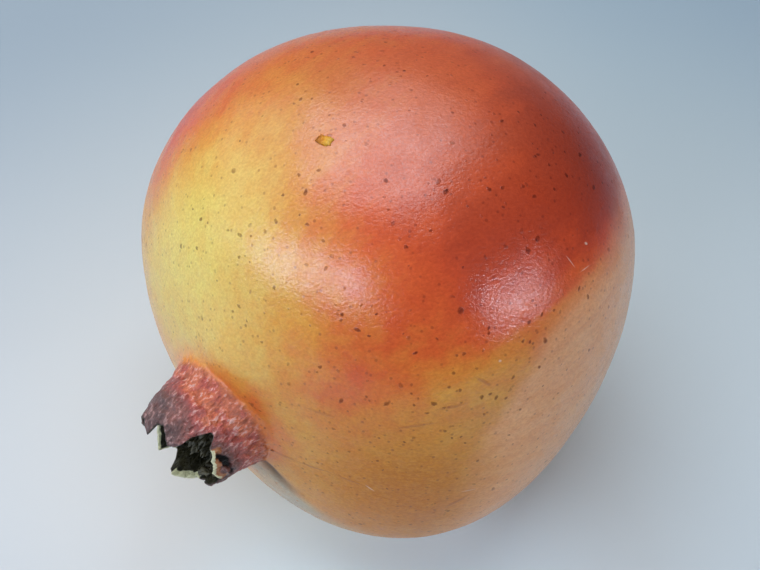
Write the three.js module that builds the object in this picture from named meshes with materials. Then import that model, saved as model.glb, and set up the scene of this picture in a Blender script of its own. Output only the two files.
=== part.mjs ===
// A ripe pomegranate lying on its flank: the rind with its crown, the dry stamens in the crown,
// and the stub of stalk left where it was picked.
//
// Millimetres, +Z up. The fruit rests on the small flat of its flank, whose centre is the origin.
// The crown points along -Y and the stalk along +Y.
//
// The skin is drawn in polar coordinates about the crown's axis. "polar" is the angle from the
// crown's end of that axis, "around" is the angle about it from the top of the resting fruit
// toward +X. "reach" is a distance along the axis toward the crown, from the fruit's centre.

import { BufferGeometry, Float32BufferAttribute, Group, Mesh, MeshStandardMaterial } from 'three';

// ---- Driving dimensions ----------------------------------------------------------------------

const GIRTH_RADIUS = 46;        // half the width at the fullest girth
const CENTRE_HEIGHT = 45.0;     // the crown's axis above the surface it rests on
const AXIS_X = -2.6;            // the crown grows a little off the middle of the fruit

const CROWN_SIDE = { reach: 39.6, squareness: 2.13 };  // centre to shoulder, and profile exponent
const STEM_SIDE = { reach: 44.4, squareness: 1.95 };   // an exponent of 2 is a plain ellipse

const LEAN = { height: 2.5, around: 71 };        // the whole body swells to one side
const THREE_SIDED = { height: 1.1, around: 38 }; // three soft sides, as the seed chambers fill

// Places where the body is fuller or flatter than the rest. Angles in degrees.
const SWELLINGS = [
  { polar: 129, around: 64, spread: 26, height: 1.4 },
  { polar: 133, around: 5, spread: 26, height: 1.5 },
  { polar: 101, around: 322, spread: 26, height: 0.9 },
  { polar: 42, around: 285, spread: 26, height: -0.6 },
  { polar: 31, around: 146, spread: 26, height: 1.6 },
  { polar: 56, around: 123, spread: 26, height: 2.8 },
  { polar: 102, around: 96, spread: 26, height: -1.0 },
  { polar: 96, around: 200, spread: 30, height: 1.3 },
];

// Soft edges that run from the shoulder over the flank, where two chambers meet.
const EDGES = [
  { around: 60, spread: 9, height: 0.7, from: 32, to: 118 },
  { around: 198, spread: 12, height: 0.5, from: 40, to: 120 },
  { around: 288, spread: 12, height: 0.5, from: 40, to: 120 },
];

const RESTING_FLAT = { softening: 0.5 };  // depth over which the flat rounds into the flank

const STALK_SEAT = { reach: -41.6, flatRadius: 4.2, rimRadius: 12 };  // the dimple at the stalk

const NECK = { polar: 21, reach: 42.4, shoulderPull: 2.6, wallPull: 1.8 };  // shoulder to crown
const WALL = { reach: 40, radius: 11.2, taper: 0.31, curlFrom: 49.5, curl: 0.12 };  // crown, outside
const CUP = { floorReach: 42, floorRadius: 7.4, cornerRadius: 1.2, dishDepth: 0.6 };
const RIM = { thickness: 1.0, crest: 0.25 };

// How far the crown reaches at each bearing: seven sepals, one torn low on the upper side.
const SEPAL_EDGE = [
  [0, 52.0], [15, 52.3], [27, 51.8], [33, 48.5], [45, 48.1], [58, 47.8], [75, 48.7], [92, 49.2],
  [106, 48.2], [118, 49.4], [130, 50.4], [143, 50.0], [155, 48.6], [168, 50.2], [182, 51.2],
  [196, 50.8], [206, 48.9], [216, 49.6], [226, 50.6], [238, 49.6], [250, 48.4], [262, 49.6],
  [275, 50.8], [288, 50.3], [299, 49.9], [312, 51.6], [325, 52.9], [338, 52.2], [347, 51.0],
];

const STAMENS = { radius: 5.0, height: 3.6, gap: 0.3, tufts: 7, tuftHeight: 0.7 };
const STUB = { radius: 2.9, collarRadius: 3.7, collarHeight: 1.6, length: 5.6, slant: 0.8, gap: 0.3 };

const COLUMNS = 64;       // facets around the fruit
const BODY_ROWS = 24;     // rings from the stalk to the shoulder
const NECK_ROWS = 4;
const WALL_ROWS = 5;
const CUP_ROWS = 4;

// ---- Helpers ---------------------------------------------------------------------------------

const radians = (degrees) => degrees * Math.PI / 180;
const mix = (a, b, t) => a + (b - a) * t;

function smooth(value, low, high) {
  const t = Math.min(1, Math.max(0, (value - low) / (high - low)));
  return t * t * (3 - 2 * t);
}

function bearingApart(a, b) {
  const apart = Math.abs(a - b) % 360;
  return Math.min(apart, 360 - apart);
}

// The direction from the fruit's centre: across the axis, along it, and up.
function direction(polar, around) {
  const p = radians(polar), a = radians(around);
  return [Math.sin(p) * Math.sin(a), Math.cos(p), Math.sin(p) * Math.cos(a)];
}

function angleApart(polarA, aroundA, polarB, aroundB) {
  const a = direction(polarA, aroundA), b = direction(polarB, aroundB);
  const dot = a[0] * b[0] + a[1] * b[1] + a[2] * b[2];
  return Math.acos(Math.min(1, Math.max(-1, dot))) * 180 / Math.PI;
}

// Turns a distance along the crown's axis and one out from it into a point of the part.
function place(reach, radius, around) {
  const a = radians(around);
  return [AXIS_X + radius * Math.sin(a), -reach, CENTRE_HEIGHT + radius * Math.cos(a)];
}

// The underside: everything below the table becomes the flat, with a soft border.
function restOnFlat([x, y, z]) {
  const k = RESTING_FLAT.softening;
  if (z >= k) return [x, y, z];
  return [x, y, z <= -k ? 0 : (z + k) ** 2 / (4 * k)];
}

// A closed surface from rings of points, all with the same number of points, and an end point
// at each end.
function closedSurface(firstEnd, rings, lastEnd) {
  const columns = rings[0].length;
  const positions = [...firstEnd, ...rings.flat(2), ...lastEnd];
  const at = (row, column) => 1 + row * columns + (column % columns);
  const last = 1 + rings.length * columns;
  const index = [];
  for (let c = 0; c < columns; c++) {
    index.push(0, at(0, c), at(0, c + 1));
    for (let r = 0; r + 1 < rings.length; r++) {
      index.push(at(r, c), at(r + 1, c), at(r, c + 1));
      index.push(at(r, c + 1), at(r + 1, c), at(r + 1, c + 1));
    }
    index.push(last, at(rings.length - 1, c + 1), at(rings.length - 1, c));
  }
  const geometry = new BufferGeometry();
  geometry.setAttribute('position', new Float32BufferAttribute(positions, 3));
  geometry.setIndex(index);
  geometry.computeVertexNormals();
  return geometry;
}

// ---- The skin --------------------------------------------------------------------------------

// Distance from the fruit's centre to the skin.
function skinDistance(polar, around) {
  const p = radians(polar), across = Math.sin(p), along = Math.cos(p);
  const side = along > 0 ? CROWN_SIDE : STEM_SIDE;
  const n = side.squareness;
  const plain = (Math.abs(along / side.reach) ** n + Math.abs(across / GIRTH_RADIUS) ** n) ** (-1 / n);
  let distance = plain
    + LEAN.height * Math.cos(radians(around - LEAN.around)) * across ** 2
    + THREE_SIDED.height * Math.cos(3 * radians(around - THREE_SIDED.around)) * across ** 2;
  for (const s of SWELLINGS) {
    distance += s.height * Math.exp(-((angleApart(polar, around, s.polar, s.around) / s.spread) ** 2));
  }
  for (const e of EDGES) {
    const fade = smooth(polar, e.from, e.from + 30) * (1 - smooth(polar, e.to - 30, e.to));
    distance += e.height * fade * Math.exp(-((bearingApart(around, e.around) / e.spread) ** 2));
  }
  return distance;
}

// The same, as a reach along the axis and a radius from it, with the stalk's dimple pressed in.
function skinProfile(polar, around) {
  const distance = skinDistance(polar, around);
  const radius = distance * Math.sin(radians(polar));
  const reach = distance * Math.cos(radians(polar));
  if (reach > 0) return [reach, radius];
  return [mix(STALK_SEAT.reach, reach, smooth(radius, STALK_SEAT.flatRadius, STALK_SEAT.rimRadius)), radius];
}

// ---- The crown -------------------------------------------------------------------------------

function sepalEdge(around) {
  const count = SEPAL_EDGE.length;
  for (let i = 0; i < count; i++) {
    const [from, low] = SEPAL_EDGE[i];
    const [next, high] = SEPAL_EDGE[(i + 1) % count];
    const to = i + 1 < count ? next : next + 360;
    if (around >= from && around <= to) return mix(low, high, (around - from) / (to - from));
  }
  return SEPAL_EDGE[0][1];
}

function wallRadius(reach) {
  const curl = WALL.curl * Math.max(0, reach - WALL.curlFrom) ** 2;
  return WALL.radius - WALL.taper * (reach - WALL.reach) - curl;
}

// The hollow between the shoulder and the crown's wall, as a cubic curve at each bearing.
function neckProfile(t, around) {
  const start = skinProfile(NECK.polar, around);
  const before = skinProfile(NECK.polar + 1, around);
  const length = Math.hypot(start[0] - before[0], start[1] - before[1]);
  const end = [NECK.reach, wallRadius(NECK.reach)];
  const wallLength = Math.hypot(1, WALL.taper);
  const leave = [0, 1].map((i) => start[i] + NECK.shoulderPull * (start[i] - before[i]) / length);
  const arrive = [end[0] - NECK.wallPull / wallLength, end[1] + NECK.wallPull * WALL.taper / wallLength];
  const s = 1 - t;
  return [0, 1].map((i) =>
    s ** 3 * start[i] + 3 * s * s * t * leave[i] + 3 * s * t * t * arrive[i] + t ** 3 * end[i]);
}

// ---- The pieces ------------------------------------------------------------------------------

function fruitGeometry() {
  const bearings = Array.from({ length: COLUMNS }, (_, i) => i * 360 / COLUMNS);
  const profiles = [];   // each one gives [reach, radius] at a bearing

  for (const radius of [1.6, 3.0]) profiles.push(() => [STALK_SEAT.reach, radius]);
  const firstPolar = 180 - 5.6;   // just outside the flat of the stalk's seat
  for (let i = 0; i < BODY_ROWS; i++) {
    const polar = mix(firstPolar, NECK.polar, i / (BODY_ROWS - 1));
    profiles.push((around) => skinProfile(polar, around));
  }
  for (let i = 1; i <= NECK_ROWS; i++) {
    profiles.push((around) => neckProfile(i / NECK_ROWS, around));
  }
  for (let i = 1; i <= WALL_ROWS; i++) {
    profiles.push((around) => {
      const reach = mix(NECK.reach, sepalEdge(around), i / WALL_ROWS);
      return [reach, wallRadius(reach)];
    });
  }
  profiles.push((around) => {
    const reach = sepalEdge(around);
    return [reach + RIM.crest, wallRadius(reach) - RIM.thickness / 2];
  });
  for (let i = 0; i <= CUP_ROWS; i++) {
    profiles.push((around) => {
      const edge = sepalEdge(around);
      const low = CUP.floorReach + CUP.cornerRadius;
      const t = i / CUP_ROWS;
      return [mix(edge, low, t), mix(wallRadius(edge) - RIM.thickness, CUP.floorRadius, t)];
    });
  }
  profiles.push(() => [CUP.floorReach + CUP.cornerRadius * 0.3, CUP.floorRadius - CUP.cornerRadius * 0.3]);
  profiles.push(() => [CUP.floorReach, CUP.floorRadius - CUP.cornerRadius]);
  profiles.push(() => [CUP.floorReach, CUP.floorRadius / 2]);

  const rings = profiles.map((profile) => bearings.map((around) =>
    restOnFlat(place(...profile(around), around))));
  return closedSurface(place(STALK_SEAT.reach, 0, 0), rings, place(CUP.floorReach, 0, 0));
}

// The dry stamens, pressed into one low tuft on the floor of the cup.
function stamensGeometry() {
  const columns = 42;
  const base = CUP.floorReach + STAMENS.gap;
  const tuft = (around, radius) => STAMENS.tuftHeight * Math.cos(STAMENS.tufts * radians(around)) * radius;
  const outline = [   // [share of the radius, share of the height]
    [0.5, 0], [0.85, 0], [0.97, 0.12], [1, 0.35], [0.96, 0.62], [0.82, 0.86], [0.6, 0.97], [0.32, 0.9],
  ];
  const rings = outline.map(([across, up]) => Array.from({ length: columns }, (_, i) => {
    const around = i * 360 / columns;
    const height = up === 0 ? 0 : STAMENS.height * up + tuft(around, across) * up;
    return place(base + height, STAMENS.radius * across, around);
  }));
  return closedSurface(place(base, 0, 0), rings, place(base + STAMENS.height * 0.8, 0, 0));
}

// The woody stub of the stalk, snipped a little aslant.
function stubGeometry() {
  const columns = 24;
  const base = STALK_SEAT.reach - STUB.gap;
  const outline = [   // [radius, distance from the skin]
    [STUB.collarRadius * 0.6, 0], [STUB.collarRadius, 0], [STUB.collarRadius, STUB.collarHeight * 0.45],
    [mix(STUB.radius, STUB.collarRadius, 0.4), STUB.collarHeight], [STUB.radius, STUB.collarHeight * 1.7],
    [STUB.radius * 0.97, STUB.length * 0.75], [STUB.radius, STUB.length], [STUB.radius * 0.5, STUB.length],
  ];
  const rings = outline.map(([radius, out], row) => Array.from({ length: columns }, (_, i) => {
    const around = i * 360 / columns;
    const flute = row > 1 ? 1 + 0.04 * Math.cos(5 * radians(around)) : 1;
    const slant = out === STUB.length ? STUB.slant * Math.cos(radians(around - 40)) * radius / STUB.radius : 0;
    return place(base - out - slant, radius * flute, around);
  }));
  return closedSurface(place(base, 0, 0), rings, place(base - STUB.length, 0, 0));
}

// The stub's rings run the other way along the axis, so its faces are turned over.
function turnOver(geometry) {
  const index = geometry.getIndex().array;
  for (let i = 0; i < index.length; i += 3) [index[i], index[i + 1]] = [index[i + 1], index[i]];
  geometry.computeVertexNormals();
  return geometry;
}

function piece(name, geometry, color, roughness) {
  const mesh = new Mesh(geometry, new MeshStandardMaterial({ color, roughness, metalness: 0 }));
  mesh.name = name;
  return mesh;
}

const pomegranate = new Group();
pomegranate.name = 'pomegranate';
pomegranate.add(
  piece('fruit', fruitGeometry(), 0xc86b3c, 0.4),
  piece('stamens', stamensGeometry(), 0x3a3026, 0.9),
  piece('stalk_stub', turnOver(stubGeometry()), 0x7a6248, 0.85),
);

export default pomegranate;
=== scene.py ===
# A ripe pomegranate on a pale studio table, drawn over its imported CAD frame.
#
# The skin is one polar surface about the crown's axis, as the CAD piece's is. "polar" is the
# angle from the crown's end of that axis, and "around" the angle about it from the top of the
# resting fruit toward +X, both in degrees. "reach" is a distance along the axis toward the
# crown, from the fruit's centre. Shapes are in millimetres, and each mesh is turned into metres
# as it is made. Materials work in metres, so a noise's scale is in cells to the metre. Marks that
# the picture shows are placed by its pixels, 760 across and 570 down.

import math

import bpy
import numpy as np
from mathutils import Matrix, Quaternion, Vector
from mathutils.bvhtree import BVHTree


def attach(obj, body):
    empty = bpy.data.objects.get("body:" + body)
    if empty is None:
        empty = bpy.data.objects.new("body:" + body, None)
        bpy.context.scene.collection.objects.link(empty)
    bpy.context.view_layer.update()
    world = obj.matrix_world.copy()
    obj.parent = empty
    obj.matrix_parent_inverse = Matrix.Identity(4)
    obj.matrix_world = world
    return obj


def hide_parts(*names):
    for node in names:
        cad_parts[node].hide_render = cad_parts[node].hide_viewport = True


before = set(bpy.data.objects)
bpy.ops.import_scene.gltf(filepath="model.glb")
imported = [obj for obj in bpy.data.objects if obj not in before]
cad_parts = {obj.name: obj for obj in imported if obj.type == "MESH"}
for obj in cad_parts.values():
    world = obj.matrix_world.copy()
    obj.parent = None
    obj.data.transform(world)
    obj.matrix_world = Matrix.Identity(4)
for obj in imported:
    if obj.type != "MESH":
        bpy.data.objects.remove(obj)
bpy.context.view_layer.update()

MM = 0.001
rng = np.random.default_rng(1204)

# ---- The fruit's shape, in millimetres ----

GIRTH_RADIUS = 46.0
CENTRE_HEIGHT = 45.0
AXIS_X = -2.6

# These four and the first seven swellings are rounded from a fit to the picture's outline.
CROWN_SIDE = dict(reach=39.6, squareness=2.13)
STEM_SIDE = dict(reach=44.4, squareness=1.95)
LEAN = dict(height=2.5, around=71)
THREE_SIDED = dict(height=1.1, around=38)

# polar, around, spread, height
SWELLINGS = [
    (129, 64, 26, 1.4), (133, 5, 26, 1.5), (101, 322, 26, 0.9), (42, 285, 26, -0.6),
    (31, 146, 26, 1.6), (56, 123, 26, 2.8), (102, 96, 26, -1.0), (96, 200, 30, 1.3),
    (16, 12, 11, 1.3),
]
# around, spread, height, from polar, to polar
EDGES = [(60, 9, 0.7, 32, 118), (198, 12, 0.5, 40, 120), (288, 12, 0.5, 40, 120)]

FLAT_SOFTENING = 0.5
STALK_SEAT = dict(reach=-41.6, flat=4.2, rim=12.0)
NECK = dict(polar=18.0, reach=41.9, shoulder_pull=2.0, wall_pull=2.1)
PINCH = dict(around=5, depth=1.3, low=42.0, high=47.5)
WALL = dict(reach=40.0, radius=11.2, taper=0.31, curl_from=49.5, curl=0.12)
CUP = dict(floor=42.0, radius=7.4, corner=1.2)

# around, reach: the edge of the crown, sepal by sepal
SEPAL_EDGE = [
    (0, 51.3), (8, 52.0), (18, 52.5), (26, 52.0), (30, 51.2), (31, 49.6), (36, 48.2), (40, 46.9),
    (45, 46.7), (50, 47.8), (56, 48.2), (69, 48.8), (80, 49.2), (92, 49.4), (104, 48.7),
    (112, 48.2), (122, 49.2), (131, 49.8), (143, 49.4), (155, 48.4), (166, 49.0), (175, 50.5),
    (187, 51.8), (196, 50.9), (203, 48.8), (210, 47.4), (216, 47.9), (223, 50.3), (230, 49.8),
    (238, 48.8), (247, 47.6), (256, 48.4), (266, 49.9), (275, 50.8), (288, 50.3), (299, 49.9),
    (308, 50.6), (320, 52.2), (330, 52.9), (339, 52.2), (346, 51.3), (349, 50.9), (353, 50.9),
]
# around, reach: where the crown's skin starts to dry from red to purple-brown
AGE_LINE = [
    (0, 46.0), (30, 47.4), (46, 45.6), (70, 43.6), (110, 43.6), (150, 45.0), (210, 45.5),
    (270, 43.5), (315, 43.0), (340, 44.5),
]
AGING = dict(before=1.5, length=6.0)    # how far below that line it begins, and how long it takes
# from around, to around, depth in millimetres of the pale torn flesh below the edge
TORN = [(57, 106, 1.1), (162, 189, 1.5), (212, 246, 0.35)]
# around, reach, half turn around, half height, slope per degree: splits in the wall, dented and
# painted near-black as shade
SPLITS = [(80, 47.2, 19, 0.8, -0.040), (104, 46.3, 9, 0.5, -0.02)]
SPLIT_DEPTH = 0.55


def smooth(value, low, high):
    t = np.clip((value - low) / (high - low), 0, 1)
    return t * t * (3 - 2 * t)


def direction(polar, around):
    """Unit vectors in the part's own axes, from angles in degrees."""
    p, a = np.broadcast_arrays(np.radians(polar), np.radians(around))
    return np.stack([np.sin(p) * np.sin(a), -np.cos(p), np.sin(p) * np.cos(a)], -1)


def aim(polar, around):
    return tuple(float(v) for v in direction(polar, around))


def bearing(azimuth, elevation):
    """The unit vector toward an azimuth from -Y round to +X and an elevation, in degrees."""
    a, e = math.radians(azimuth), math.radians(elevation)
    return Vector((math.sin(a) * math.cos(e), -math.cos(a) * math.cos(e), math.sin(e)))


def value_noise(points, seed):
    """Smooth noise from -1 to 1 at points of any shape (..., 3), one unit to a cell."""
    table = np.random.default_rng(seed).uniform(-1, 1, 4096)
    cell = np.floor(points).astype(np.int64)
    f = points - cell
    f = f * f * (3 - 2 * f)
    total = 0.0
    for corner in np.ndindex(2, 2, 2):
        c = cell + np.array(corner)
        key = (c[..., 0] * 73856093 ^ c[..., 1] * 19349663 ^ c[..., 2] * 83492791) % 4096
        weight = np.prod(np.where(np.array(corner) == 1, f, 1 - f), -1)
        total = total + table[key] * weight
    return total


def skin_distance(polar, around):
    p = np.radians(polar)
    across, along = np.sin(p), np.cos(p)
    reach = np.where(along > 0, CROWN_SIDE["reach"], STEM_SIDE["reach"])
    n = np.where(along > 0, CROWN_SIDE["squareness"], STEM_SIDE["squareness"])
    distance = (np.abs(along / reach) ** n + np.abs(across / GIRTH_RADIUS) ** n) ** (-1 / n)
    for sides, wave in ((1, LEAN), (3, THREE_SIDED)):
        turn = np.radians(around - wave["around"])
        distance = distance + wave["height"] * np.cos(sides * turn) * across ** 2
    unit = direction(polar, around)
    for s_polar, s_around, spread, height in SWELLINGS:
        apart = np.degrees(np.arccos(np.clip(unit @ direction(s_polar, s_around), -1, 1)))
        distance += height * np.exp(-(apart / spread) ** 2)
    for e_around, spread, height, low, high in EDGES:
        apart = np.abs((around - e_around + 180) % 360 - 180)
        fade = smooth(polar, low, low + 30) * (1 - smooth(polar, high - 30, high))
        distance += height * fade * np.exp(-(apart / spread) ** 2)
    return distance


def skin_profile(polar, around):
    """(reach, radius) of the skin."""
    distance = skin_distance(polar, around)
    radius = distance * np.sin(np.radians(polar))
    reach = distance * np.cos(np.radians(polar))
    press = smooth(radius, STALK_SEAT["flat"], STALK_SEAT["rim"])
    pressed = STALK_SEAT["reach"] + (reach - STALK_SEAT["reach"]) * press
    return np.where(reach > 0, reach, pressed), radius


def read_round(table, around):
    """A value from a table of (around, value) that closes on itself."""
    return np.interp(around % 360, *zip(*table), period=360)


def wall_radius(reach, around=160.0):
    """The wall is pinched in at its foot on the side that faces up."""
    curl = WALL["curl"] * np.maximum(0, reach - WALL["curl_from"]) ** 2
    side = 0.5 + 0.5 * np.cos(np.radians(around - PINCH["around"]))
    pinch = PINCH["depth"] * side * (1 - smooth(reach, PINCH["low"], PINCH["high"]))
    return WALL["radius"] - WALL["taper"] * (reach - WALL["reach"]) - curl - pinch


def neck_profile(t, around):
    start = np.array(skin_profile(NECK["polar"], around))
    before = np.array(skin_profile(NECK["polar"] + 1, around))
    slope = start - before
    slope /= np.hypot(*slope)
    end = np.array([np.full_like(around, NECK["reach"]), wall_radius(NECK["reach"], around)])
    wall_way = np.array([1, -WALL["taper"]]) / math.hypot(1, WALL["taper"])
    leave = start + NECK["shoulder_pull"] * slope
    arrive = end - NECK["wall_pull"] * wall_way[:, None]
    s = 1 - t
    return s ** 3 * start + 3 * s * s * t * leave + 3 * s * t * t * arrive + t ** 3 * end


def place(reach, radius, around):
    reach, radius, a = np.broadcast_arrays(reach, radius, np.radians(around))
    return np.stack([AXIS_X + radius * np.sin(a), -reach, CENTRE_HEIGHT + radius * np.cos(a)], -1)


def rest_on_flat(points):
    z, k = points[..., 2], FLAT_SOFTENING
    points[..., 2] = np.where(z >= k, z, np.where(z <= -k, 0, (z + k) ** 2 / (4 * k)))
    return points


def add_object(name, data):
    thing = bpy.data.objects.new(name, data)
    bpy.context.scene.collection.objects.link(thing)
    return thing


def add_piece(name, points, faces):
    """A new mesh object; points are in metres."""
    mesh = bpy.data.meshes.new(name)
    mesh.from_pydata(points, [], faces)
    mesh.shade_smooth()
    return add_object(name, mesh)


def set_field(piece, name, values):
    """A number at each vertex, for the material to read."""
    fields = piece.data.attributes
    field = fields[name] if name in fields else fields.new(name, "FLOAT", "POINT")
    field.data.foreach_set("value", np.asarray(values, np.float32))


def pairs(sides):
    """The steps of a ring: each vertex and the one after it."""
    return [(k, (k + 1) % sides) for k in range(sides)]


def sleeve(first, rings, sides):
    """The quads between rings of vertices that follow one another from first."""
    return [(row + k, row + after, row + sides + after, row + sides + k)
            for row in range(first, first + (rings - 1) * sides, sides)
            for k, after in pairs(sides)]


def ring_mesh(name, first, rings, last):
    """A closed mesh from rings (rows, columns, 3) and an end point at each end, in millimetres."""
    rows, columns = rings.shape[:2]
    points = np.concatenate([[first], rings.reshape(-1, 3), [last]]) * MM
    end_ring, end = 1 + (rows - 1) * columns, len(points) - 1
    faces = [(0, 1 + k, 1 + after) for k, after in pairs(columns)]
    faces += [quad[:1] + quad[:0:-1] for quad in sleeve(1, rows, columns)]
    faces += [(end, end_ring + after, end_ring + k) for k, after in pairs(columns)]
    return add_piece(name, points.tolist(), faces)


# ---- The rind ----

COLUMNS = 400
STALK_SEAT_POLE = (1.6, 3.0)   # radii of the first rings of the seat
BODY_START = 174.4             # polar angle where the body's rows begin, beside the seat
BODY_ROWS = 112
NECK_ROWS = 20
NECK_WRINKLES, NECK_COLOUR = (0.15, 0.6), (0.3, 1.0)   # where on the neck they come in
WALL_ROWS = 62
CUP_ROWS = 22
CUP_CROWDING = 1.3             # packs the cup's rows toward its rim
CUP_FOLDS = 1.4                # how strongly the wall's folds show inside the cup, halfway down
RIM = dict(thickness=0.5, crest=0.06)
NECK_SHARE = 0.24              # of the "crown" mask, from the neck's foot to its top
# height in millimetres, cells and seed of each noise along the crown's torn edge
RAGGED_EDGE = ((0.12, 12, 21), (0.10, 34, 22))
WRINKLES = dict(folds=0.22, ridges=0.42, creases=0.26, grit=0.08)
SKIN_RIPPLES = ((0.10, 5.0, 31), (0.035, 13.0, 32))
# A crease that runs from the crown down the underside, with painted shade in it, and beyond it pale
# grey skin that is a painted floor reflection and painted shade.
CREASE = dict(around=125, half_turn=4.5, start=(11, 15), end=(19, 30), depth=0.55,
              sway=3.0, sway_turns=12)
GREY_SIDE = dict(start=(124, 134), end=(147, 169), polar=(26, 50))


def around_noise(around, cells, seed, along=0.0, stretch=1.0):
    """Noise that closes on itself around the axis, with so many cells to a radius."""
    a = np.radians(around)
    points = [np.sin(a) * cells, np.cos(a) * cells, along * stretch + 0 * a]
    return value_noise(np.stack(points, -1), seed)


def crown_wrinkles(reach, around):
    """Height of the crown's lengthwise folds, sharp ridges and creases, in millimetres."""
    folds = around_noise(around, 4.5, 11, reach, 0.22)
    ridges = 0.4 - np.abs(around_noise(around, 7, 12, reach, 0.45))
    creases = 0.4 - np.abs(around_noise(around + 2.2 * reach, 12, 14, reach, 1.0))
    grit = around_noise(around, 24, 13, reach, 2.2)
    return (WRINKLES["folds"] * folds + WRINKLES["ridges"] * ridges
            + WRINKLES["creases"] * creases + WRINKLES["grit"] * grit)


def split_depth(reach, around):
    """How far the wall falls in at its splits, from 0 to 1."""
    depth = 0.0 * (reach + around)
    for middle, height, half_turn, half_height, slope in SPLITS:
        turn = (around - middle + 180) % 360 - 180
        off = reach - height - slope * turn + 0.25 * around_noise(around, 14, 24)
        inside = 1 - np.hypot(turn / half_turn, off / half_height)
        depth = np.maximum(depth, smooth(inside, 0.0, 0.35))
    return depth


def torn_flesh(below, around):
    """1 in the pale torn flesh at the crown's edge, by the distance below it."""
    torn = 0.0 * (below + around)
    for start, end, deep in TORN:
        sides = smooth(around, start - 2, start + 2) * (1 - smooth(around, end - 2, end + 2))
        ragged = deep * (1 + 0.5 * around_noise(around, 11, 25))
        torn = np.maximum(torn, sides * (1 - smooth(below, ragged * 0.5, ragged * 1.15)))
    return torn


def age(reach, around):
    below = read_round(AGE_LINE, around) - AGING["before"]
    return np.clip((reach - below) / AGING["length"], 0, 1)


def flank_ripple(polar, around):
    """The slight unevenness of the leathery skin, in millimetres."""
    unit = direction(polar, around)
    return sum(height * value_noise(unit * cells, seed) for height, cells, seed in SKIN_RIPPLES)


def crease(polar, around):
    along = smooth(polar, *CREASE["start"]) * (1 - smooth(polar, *CREASE["end"]))
    bend = CREASE["sway"] * np.sin(np.radians(CREASE["sway_turns"] * polar))
    return along * np.exp(-((around + bend - CREASE["around"]) / CREASE["half_turn"]) ** 2)


# Where the pale grey painted floor reflection and shade lie, beside the crease.
def grey_side(polar, around):
    turn = smooth(around, *GREY_SIDE["start"]) * (1 - smooth(around, *GREY_SIDE["end"]))
    return turn * (1 - smooth(polar, *GREY_SIDE["polar"]))


CROWN_MASKS = ("crown", "inside", "torn", "aged", "split", "crease", "grey")


def rind():
    around = np.arange(COLUMNS) * 360 / COLUMNS
    rows, masks = [], []      # (reach, radius) of each ring, and CROWN_MASKS for the material

    def add(reach, radius, **fields):
        rows.append(np.broadcast_arrays(reach, radius, around)[:2])
        values = [fields.get(name, 0.0) for name in CROWN_MASKS]
        masks.append(np.stack(np.broadcast_arrays(*values, around)[:-1], -1))

    for radius in STALK_SEAT_POLE:
        add(STALK_SEAT["reach"], radius)
    for polar in np.linspace(BODY_START, NECK["polar"], BODY_ROWS):
        reach, radius = skin_profile(polar, around)
        ripple = flank_ripple(polar, around) * smooth(radius, STALK_SEAT["flat"], STALK_SEAT["rim"])
        creased = crease(polar, around)
        ripple = ripple - CREASE["depth"] * creased
        p = math.radians(polar)
        add(reach + ripple * math.cos(p), radius + ripple * math.sin(p), crease=creased,
            grey=grey_side(polar, around))
    edge = read_round(SEPAL_EDGE, around)
    for height, cells, seed in RAGGED_EDGE:
        edge = edge + height * around_noise(around, cells, seed)

    def wall(reach):
        split = split_depth(reach, around)
        radius = wall_radius(reach, around) + crown_wrinkles(reach, around) - SPLIT_DEPTH * split
        return radius, split

    creased = crease(NECK["polar"], around)
    fade = flank_ripple(NECK["polar"], around) - CREASE["depth"] * creased
    for i in range(1, NECK_ROWS + 1):
        t = i / NECK_ROWS
        reach, radius = neck_profile(t, around)
        rise = smooth(t, *NECK_WRINKLES)
        add(reach + fade * (1 - t), radius + rise * crown_wrinkles(reach, around),
            crown=NECK_SHARE * smooth(t, *NECK_COLOUR), aged=age(reach, around),
            crease=creased * (1 - 0.4 * t), grey=grey_side(0, around) * (1 - t))
    for i in range(1, WALL_ROWS + 1):
        t = i / WALL_ROWS
        reach = NECK["reach"] + (edge - NECK["reach"]) * t
        radius, split = wall(reach)
        below = edge - reach
        torn = 0.5 * torn_flesh(below * 0.7, around) + 0.5 * torn_flesh(below * 2.6, around)
        add(reach, radius, crown=NECK_SHARE + (1 - NECK_SHARE) * t, torn=torn,
            aged=age(reach, around), split=split)
    thickness = RIM["thickness"] * (1 + 0.35 * around_noise(around, 9, 23))
    outer = wall(edge)[0]
    for share in (0.25, 0.5, 0.75):
        lift = RIM["crest"] * math.sin(math.pi * share)
        add(edge + lift, outer - thickness * share, crown=1, inside=share,
            torn=torn_flesh(0, around), aged=1)
    low = CUP["floor"] + CUP["corner"]
    for i in range(CUP_ROWS + 1):
        t = (i / CUP_ROWS) ** CUP_CROWDING
        reach = edge + (low - edge) * t
        inner = (outer - thickness) * (1 - t) + CUP["radius"] * t
        folds = around_noise(around, 9, 26, reach, 0.15) + crown_wrinkles(reach, around)
        add(reach, inner + CUP_FOLDS * t * (1 - t) * folds, crown=1 - t, inside=1,
            torn=torn_flesh(edge - reach, around), aged=1)
    corner = CUP["corner"] * 0.3
    add(CUP["floor"] + corner, CUP["radius"] - corner, inside=1)
    add(CUP["floor"], CUP["radius"] - CUP["corner"], inside=1)
    add(CUP["floor"], CUP["radius"] / 2, inside=1)

    rings = rest_on_flat(np.stack([place(reach, radius, around) for reach, radius in rows]))
    ends = place(STALK_SEAT["reach"], 0, 0.0), place(CUP["floor"], 0, 0.0)
    piece = ring_mesh("rind", ends[0], rings, ends[1])
    values = np.stack(masks).reshape(-1, len(CROWN_MASKS))
    values = np.pad(values, ((1, 1), (0, 0)))
    values[-1, CROWN_MASKS.index("inside")] = 1
    for k, name in enumerate(CROWN_MASKS):
        set_field(piece, name, values[:, k])
    return piece


# ---- Camera ----

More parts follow.
